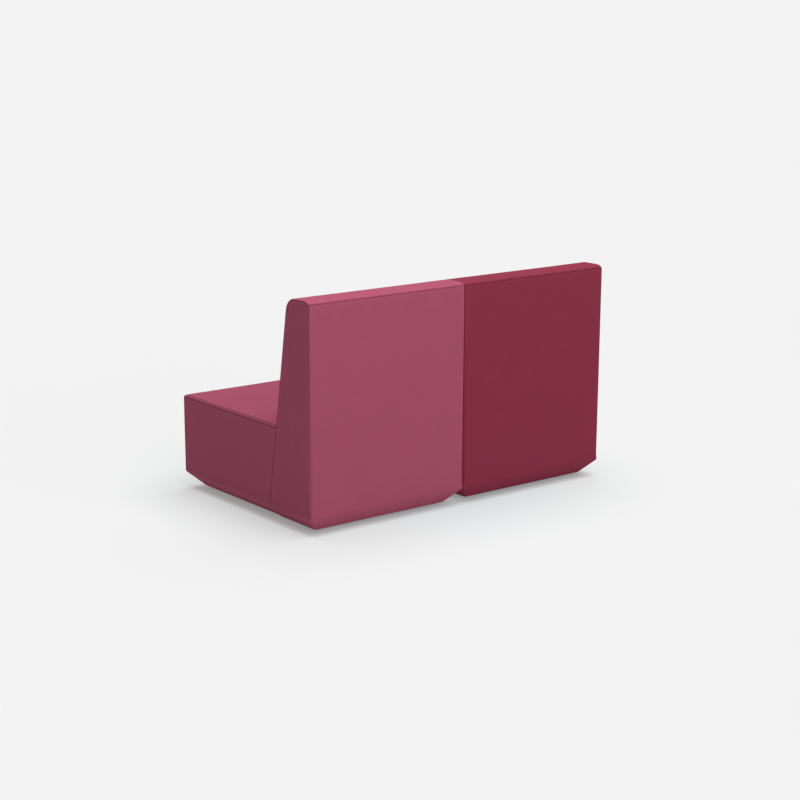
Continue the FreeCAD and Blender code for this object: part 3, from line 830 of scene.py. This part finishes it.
def swollen(block, seam_tree):
    """How the padding pushes the cover out: a cloth simulation of the block, held at its seams and hem.

    Gives a search tree over the block's points and the movement of each, the largest being the swell.
    """
    points, faces, _ = skin(block, PAD_STEP, PAD_ENDS, ())
    pad = mesh_object("padding", points, faces)
    held = pad.vertex_groups.new(name="sewn")
    for index, point in enumerate(points):
        if point.z < HELD_FOOT or seam_tree.find(point)[2] < HELD_SEAM:
            held.add([index], 1.0, "REPLACE")
    cloth = pad.modifiers.new("cloth", "CLOTH")
    for key, value in PAD_CLOTH.items():
        setattr(cloth.settings, key, value)
    cloth.settings.effector_weights.gravity = 0
    cloth.point_cache.frame_start = 1
    cloth.point_cache.frame_end = PAD_FRAMES
    scene = bpy.context.scene
    for number in range(1, PAD_FRAMES + 1):
        scene.frame_set(number)
    pressed = pad.evaluated_get(bpy.context.evaluated_depsgraph_get()).data
    moves = [vertex.co - point for vertex, point in zip(pressed.vertices, points)]
    scene.frame_set(1)
    discard(pad)
    scale = block.sizes.swell / max(move.length for move in moves)
    return tree_of(points), [move * scale for move in moves]


def push_at(point, padding):
    """Movement of the padding at a point, from the simulated points nearest to it."""
    tree, moves = padding
    near = tree.find_n(point, PAD_NEAREST)
    weights = [1 / (distance + PAD_BLUR) ** 2 for _, _, distance in near]
    total = sum(weights)
    push = Vector()
    for (_, index, _), weight in zip(near, weights):
        push += moves[index] * (weight / total)
    return push


def flat_coordinates(made):
    """Weave coordinates in metres: each face is laid flat along its nearest axis."""
    mesh = made.data
    layer = mesh.uv_layers.new(name="weave")
    for face in mesh.polygons:
        size = [abs(part) for part in face.normal]
        lead = size.index(max(size))
        first, second = ((1, 2), (0, 2), (0, 1))[lead]
        for corner in face.loop_indices:
            place = mesh.vertices[mesh.loops[corner].vertex_index].co
            layer.data[corner].uv = (place[first], place[second])


def sewn_cover(name, block, padding, seams, offset):
    """Closed cover of a block: swollen panels, grooved seams, a hem and the thickness of the cloth."""
    points, faces, count = skin(block, block.sizes.mesh_step, COVER_ENDS, block.rows)
    shape = mesh_object(name + "_shape", points, faces)
    normals = [vertex.normal.copy() for vertex in shape.data.vertices]
    discard(shape)
    seam_tree, grooves = seams
    reach = block.half + block.sizes.press
    moved, sewn, wear_and_highlight_values = [], [], []
    for point, normal in zip(points, normals):
        free = block.freedom(point, normal)
        place = point.copy()
        if padding:
            place += push_at(point, padding) * free
        _, index, distance = seam_tree.find(point)
        depth, width, shade = grooves[index]
        groove = math.exp(-(distance / width) ** 2)
        ripple = noise.noise(point * RIPPLE_WAVES + Vector((offset, 0, 0))) * RIPPLE_DEPTH * free
        place += normal * (ripple - depth * groove)
        place.x = max(-reach, min(reach, place.x))
        moved.append(place)
        # Painted shade along each seam's groove, kept for the fabric's colour.
        sewn.append(groove * shade)
        # A rubbed strip beside the seams, plus the block's painted highlight.
        edge = math.exp(-((distance - RUB_PLACE) / RUB_PLACE) ** 2)
        wear_and_highlight_values.append(min(1.0, block.painted_highlight(point, normal) + RUB_SHARE * edge))
    lining = [place - normal * block.sizes.cloth for place, normal in zip(moved, normals)]
    total = len(moved)
    closed = list(faces)
    closed += [tuple(total + index for index in reversed(face)) for face in faces]
    for place in range(count):
        beside = (place + 1) % count
        closed.append((beside, place, total + place, total + beside))
    lift = Vector((offset, 0, block.sizes.base))
    made = mesh_object(name, [place + lift for place in moved + lining], closed)
    for title, values in (("seam", sewn), ("rub", wear_and_highlight_values)):
        layer = made.data.attributes.new(title, "FLOAT", "POINT")
        layer.data.foreach_set("value", values + [0.0] * total)
    flat_coordinates(made)
    return made


def stitches(name, lines, sewing, offset):
    """Row of small sewn stitches along lines across X, each a short thread that dips at both ends."""
    points, faces = [], []
    across = Vector((1, 0, 0))
    turns = [math.radians(360 * side / STITCH_SIDES) for side in range(STITCH_SIDES)]
    for line in lines:
        left = 0.0
        for first, second in zip(line, line[1:]):
            along = second - first
            run = along.length
            along.normalize()
            up = along.cross(across)
            while left < run:
                middle = first + along * left
                start = len(points)
                for place, size, lift in STITCH:
                    centre = middle + along * (place * sewing.stitch_length) + up * (lift * sewing.thread)
                    for turn in turns:
                        spoke = across * math.cos(turn) + up * math.sin(turn)
                        points.append(centre + spoke * (sewing.thread * size) + offset)
                sides = ring_faces(len(STITCH), STITCH_SIDES, start)
                faces += [tuple(reversed(face)) for face in sides]
                last = len(points) - STITCH_SIDES
                faces.append(tuple(range(start, start + STITCH_SIDES)))
                faces.append(tuple(reversed(range(last, last + STITCH_SIDES))))
                left += sewing.stitch_pitch
            left -= run
    return mesh_object(name, points, faces)


def stretched_cloth(name, low, high):
    """Thin flat cloth that dips a little between its stapled edges, and its flat size."""
    low, high = Vector(low), Vector(high)
    size = high - low
    wide, deep = round(size.x / SHEET_STEP), round(size.y / SHEET_STEP)
    points, faces = [], []
    for side in (0, 1):
        for j in range(deep + 1):
            for i in range(wide + 1):
                x = low.x + size.x * i / wide
                y = low.y + size.y * j / deep
                inside = min(x - low.x, high.x - x, y - low.y, high.y - y)
                wave = noise.noise(Vector((x * SLACK_WAVES, y * SLACK_WAVES, SLACK_SLICE)))
                slack = wave * SLACK_DEPTH * min(1.0, inside / SLACK_REACH)
                points.append(Vector((x, y, high.z - SHEET_DROP - side * SHEET_THICK + slack)))
    row = wide + 1
    layer = row * (deep + 1)
    for j in range(deep):
        for i in range(wide):
            first = j * row + i
            top = (first, first + 1, first + row + 1, first + row)
            faces.append(top)
            faces.append(tuple(layer + index for index in reversed(top)))
    rim = list(range(row))
    rim += [j * row + wide for j in range(1, deep + 1)]
    rim += [deep * row + i for i in range(wide - 1, -1, -1)]
    rim += [j * row for j in range(deep - 1, 0, -1)]
    for first, second in zip(rim, rim[1:] + rim[:1]):
        faces.append((second, first, layer + first, layer + second))
    made = mesh_object(name, points, faces)
    flat_coordinates(made)
    return made, (size.x, size.y)


def wrap_layer(name, block, offset, step=0.05, cells=5):
    """Thin foam behind and beside the back's frame, with its rear edges rounded under the cover."""
    s = block.sizes
    lining = BACK_HIGH.y - WRAP_HIGH.y
    frame_half, frame_rear = s.module_width / 2 - lining - s.wrap, WRAP_HIGH.y - s.wrap
    turns = [math.radians(90 * index / cells) for index in range(cells + 1)]
    heights = even(WRAP_LOW.z, WRAP_HIGH.z, step)
    points = []
    for z in heights:
        half, _, rear = block.outline(z - s.base)
        wide, rear = half - s.ease - lining, rear - lining
        front = block.joint(z - s.base) + lining / math.cos(s.lean)
        radius = block.corners(z - s.base)[1] - lining
        right = [(wide, front)]
        for turn in turns:
            right.append((wide - radius * (1 - math.cos(turn)), rear - radius * (1 - math.sin(turn))))
        inner = [(-frame_half, front), (-frame_half, frame_rear)]
        outline = right + mirrored(right) + inner + mirrored(inner)
        points += [Vector((x + offset, y, z)) for x, y in outline]
    count = len(outline)
    last = len(points) - count
    faces = ring_faces(len(heights), count)
    faces.append(tuple(reversed(range(count))))
    faces.append(tuple(range(last, last + count)))
    return mesh_object(name, points, faces)


def mirrored(path):
    """A path in plan on the other side of the middle, in the opposite order."""
    return [(-x, y) for x, y in reversed(path)]


def dress(piece, finish, slot, *nodes):
    """Give a piece its finish, its body and the nodes that it stands for."""
    piece.data.materials.append(finish)
    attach(piece, BODY)
    if nodes:
        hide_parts(*nodes)


def coat(finish, *nodes):
    """Give carried-over nodes a finish."""
    for node in nodes:
        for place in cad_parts[node].material_slots:
            place.material = finish


def of_both(*names):
    """Node names of both modules."""
    return [f"{colour}_{name}" for colour, _ in MODULES for name in names]


def wool(finish, colour):
    """The fabric of one module, made once for its seat and back."""
    name = f"{colour}_wool"
    return bpy.data.materials.get(name) or fabric(name, getattr(finish, colour), finish.weave)


def sewn_covers(scene, kind, maker):
    """Make the covers of one kind for both modules, and give the block that they follow."""
    sizes = scene.sofa_sizes
    block = maker(sizes, scene.sofa_sewing)
    marks = block.seam_points()
    seam_tree = tree_of([place for place, _ in marks])
    grooves = [groove for _, groove in marks]
    padding = swollen(block, seam_tree)
    for colour, way in MODULES:
        cover = sewn_cover(f"{colour}_{kind}_upholstery", block, padding, (seam_tree, grooves),
                           way * sizes.module_centre)
        dress(cover, wool(scene.sofa_finish, colour), f"{colour}_fabric", f"{colour}_{kind}_cover")
    return block


class SOFA_OT_back_covers(bpy.types.Operator):
    """Build the sewn covers of the two backs"""

    bl_idname = "sofa.back_covers"
    bl_label = "Back covers"

    def execute(self, context):
        sewn_covers(context.scene, "back", BackBlock)
        return {"FINISHED"}


class SOFA_OT_seat_covers(bpy.types.Operator):
    """Build the sewn covers of the two seats and their top stitching"""

    bl_idname = "sofa.seat_covers"
    bl_label = "Seat covers"

    def execute(self, context):
        scene = context.scene
        sizes, sewing = scene.sofa_sizes, scene.sofa_sewing
        block = sewn_covers(scene, "seat", SeatBlock)
        lines = [block.stitch_line(side) for side in (-1, 1)]
        for colour, way in MODULES:
            height = sizes.base - sewing.stitch_depth * STITCH_SINK
            row = stitches(f"{colour}_top_stitching", lines, sewing,
                           Vector((way * sizes.module_centre, 0, height)))
            thread = thread_finish(f"{colour}_thread", getattr(scene.sofa_finish, colour))
            dress(row, thread, f"{colour}_fabric")
        return {"FINISHED"}


class SOFA_OT_dust_cloths(bpy.types.Operator):
    """Stretch the dust cloths under the seats and backs"""

    bl_idname = "sofa.dust_cloths"
    bl_label = "Dust cloths"

    def execute(self, context):
        black = spunbond("dust_cloth_black", context.scene.sofa_finish.cloth_black)
        for node in of_both("seat_dust_cloth", "back_dust_cloth"):
            sheet, flat = stretched_cloth(node + "_sheet", *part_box(node))
            dress(sheet, black, "dust_cloth", node)
        return {"FINISHED"}


class SOFA_OT_timber(bpy.types.Operator):
    """Finish the plywood, pine and hardboard of the frames"""

    bl_idname = "sofa.timber"
    bl_label = "Timber frames"

    def execute(self, context):
        for name, dark, light, grain, pieces in TIMBERS:
            coat(timber(name, dark, light, grain), *of_both(*pieces))
        return {"FINISHED"}


class SOFA_OT_filling(bpy.types.Operator):
    """Finish the foam and the webbing, and round the backs' wrap foam under its cover"""

    bl_idname = "sofa.filling"
    bl_label = "Foam and webbing"

    def execute(self, context):
        scene = context.scene
        foam = foam_finish("cream_foam")
        coat(foam, *of_both("seat_foam", "seat_wrap_foam", "back_front_foam"))
        block = BackBlock(scene.sofa_sizes, scene.sofa_sewing)
        for colour, way in MODULES:
            layer = wrap_layer(f"{colour}_back_wrap_layer", block, way * scene.sofa_sizes.module_centre)
            dress(layer, foam, "foam", f"{colour}_back_wrap_foam")
        coat(webbing_finish("elastic_webbing"), *of_both("seat_webbing", "back_webbing"))
        return {"FINISHED"}


class SOFA_OT_metalwork(bpy.types.Operator):
    """Finish the links, pins, bolts, nuts and screws"""

    bl_idname = "sofa.metalwork"
    bl_label = "Links and fasteners"

    def execute(self, context):
        coat(zinc_finish("zinc_plate"), "front_link", "rear_link", "link_pivots", "link_studs",
             *of_both("glide_screws", "joining_bolts", "tee_nuts"))
        return {"FINISHED"}


class SOFA_OT_glides(bpy.types.Operator):
    """Finish the plastic glides"""

    bl_idname = "sofa.glides"
    bl_label = "Glides"

    def execute(self, context):
        coat(glide_finish("glide_black"), *of_both("glides"))
        return {"FINISHED"}


class SOFA_OT_stage(bpy.types.Operator):
    """Set up the floor, the light and the camera"""

    bl_idname = "sofa.stage"
    bl_label = "Stage"

    def execute(self, context):
        scene = context.scene
        stage = scene.sofa_stage
        scene.view_settings.view_transform = "Standard"
        self.floor(stage)
        self.light(scene, stage)
        self.camera(scene, stage)
        return {"FINISHED"}

    def floor(self, stage):
        """Round pale floor that keeps the object's shadow and is clear when seen from below."""
        turns = [math.radians(360 * index / stage.floor_sides) for index in range(stage.floor_sides)]
        points = [Vector((math.cos(turn), math.sin(turn), 0)) * stage.floor_radius for turn in turns]
        floor = mesh_object("studio_floor", points, [tuple(range(stage.floor_sides))])
        paint, wire = blank("pale_floor")
        seen = seen_rays(wire)
        lit = wire.node("BsdfDiffuse", None, {"Color": self.floor_colour(wire, stage, seen)})
        # Painted contact shadow: the floor's glow is dimmed beside the object's foot by ambient occlusion.
        open_to_sky = wire.node("AmbientOcclusion", {"samples": 16}, {"Distance": stage.contact}, "AO")
        glow = wire.node("Emission", None, {
            "Color": 1 - seen * (1 - open_to_sky) * stage.contact_depth,
            "Strength": seen * (stage.shade - stage.underlight) + stage.underlight})
        upper = wire.node("AddShader", None, {0: lit, 1: glow})
        lower = wire.node("BsdfTransparent", None, {"Color": WHITE})
        below = wire.node("NewGeometry", None, None, "Backfacing")
        shader = wire.node("MixShader", None, {0: below, 1: upper, 2: lower})
        wire.node("OutputMaterial", None, {"Surface": shader})
        floor.data.materials.append(paint)

    def floor_colour(self, wire, stage, seen):
        """Pale grey, with less red near the object, where the covers redden the floor."""
        place = object_place(wire)
        cloud = 1 - stage.clouding / 2 + place.noise(0.6, detail=2.0) * stage.clouding
        level = (stage.bounce - seen * (stage.bounce - stage.floor)) * cloud
        away = wire.node("VectorMath", {"operation": "LENGTH"}, {0: place}, "Value")
        near = (1 - away / stage.cast_reach).most(0.0)
        red = level * (1 - seen * near * near * stage.cast)
        return wire.node("CombineColor", None, {0: red, 1: level, 2: level})

    def light(self, scene, stage):
        """Faint even light, a pale background for the camera, and two soft lamps."""
        world = bpy.data.worlds.new("studio")
        scene.world = world
        world.use_nodes = True
        world.node_tree.nodes.clear()
        wire = Wire(world.node_tree)
        sky = wire.node("Background", None, {"Color": WHITE, "Strength": stage.sky})
        paper = wire.node("Background", None, {"Color": WHITE, "Strength": stage.paper})
        shader = wire.node("MixShader", None, {0: seen_rays(wire), 1: sky, 2: paper})
        wire.node("OutputWorld", None, {"Surface": shader})
        self.lamp(scene, "lamp", stage.lamp, stage.lamp_angle, stage.lamp_from)
        self.lamp(scene, "fill", stage.fill, stage.fill_angle, stage.fill_from)

    def lamp(self, scene, name, energy, angle, source):
        """One far lamp that shines from a direction."""
        lamp = bpy.data.lights.new(name, "SUN")
        lamp.energy = energy
        lamp.angle = angle
        hung = bpy.data.objects.new(name, lamp)
        hung.rotation_mode = "QUATERNION"
        hung.rotation_quaternion = Vector(source).to_track_quat("Z", "Y")
        scene.collection.objects.link(hung)

    def camera(self, scene, stage):
        """Camera at the photograph's place and angle."""
        lens = bpy.data.cameras.new("studio_camera")
        lens.sensor_width = SENSOR_WIDTH
        lens.lens = SENSOR_WIDTH / 2 / math.tan(stage.view_angle / 2)
        lens.clip_end = 5 * stage.floor_radius
        made = bpy.data.objects.new("studio_camera", lens)
        level = math.cos(stage.pitch)
        look = Vector((level * math.cos(stage.heading), level * math.sin(stage.heading),
                       -math.sin(stage.pitch)))
        made.location = stage.eye
        made.rotation_mode = "QUATERNION"
        made.rotation_quaternion = look.to_track_quat("-Z", "Y")
        scene.collection.objects.link(made)
        scene.camera = made


class SOFA_PT_panel(bpy.types.Panel):
    """Lists the steps that dress the sofa"""

    bl_idname = "SOFA_PT_panel"
    bl_label = "Sofa"
    bl_space_type = "VIEW_3D"
    bl_region_type = "UI"
    bl_category = "Sofa"

    def draw(self, context):
        for step in STEPS:
            self.layout.operator(step.bl_idname)
        for title in GROUPS:
            group = getattr(context.scene, title)
            for key in group.__annotations__:
                self.layout.prop(group, key)


STEPS = (SOFA_OT_back_covers, SOFA_OT_seat_covers, SOFA_OT_dust_cloths, SOFA_OT_timber, SOFA_OT_filling,
         SOFA_OT_metalwork, SOFA_OT_glides, SOFA_OT_stage)
GROUPS = {
    "sofa_sizes": SofaSizes,
    "sofa_sewing": SofaSewing,
    "sofa_finish": SofaFinish,
    "sofa_stage": SofaStage,
}


def register():
    """Add the settings, the steps and the panel to Blender."""
    for title, group in GROUPS.items():
        bpy.utils.register_class(group)
        setattr(bpy.types.Scene, title, PointerProperty(type=group))
    for step in STEPS:
        bpy.utils.register_class(step)
    bpy.utils.register_class(SOFA_PT_panel)


def unregister():
    """Take them out again."""
    bpy.utils.unregister_class(SOFA_PT_panel)
    for step in reversed(STEPS):
        bpy.utils.unregister_class(step)
    for title, group in GROUPS.items():
        delattr(bpy.types.Scene, title)
        bpy.utils.unregister_class(group)


def main():
    """Dress the sofa step by step."""
    register()
    bpy.ops.sofa.back_covers()
    bpy.ops.sofa.seat_covers()
    bpy.ops.sofa.dust_cloths()
    bpy.ops.sofa.timber()
    bpy.ops.sofa.filling()
    bpy.ops.sofa.metalwork()
    bpy.ops.sofa.glides()
    bpy.ops.sofa.stage()


if __name__ == "__main__":
    main()
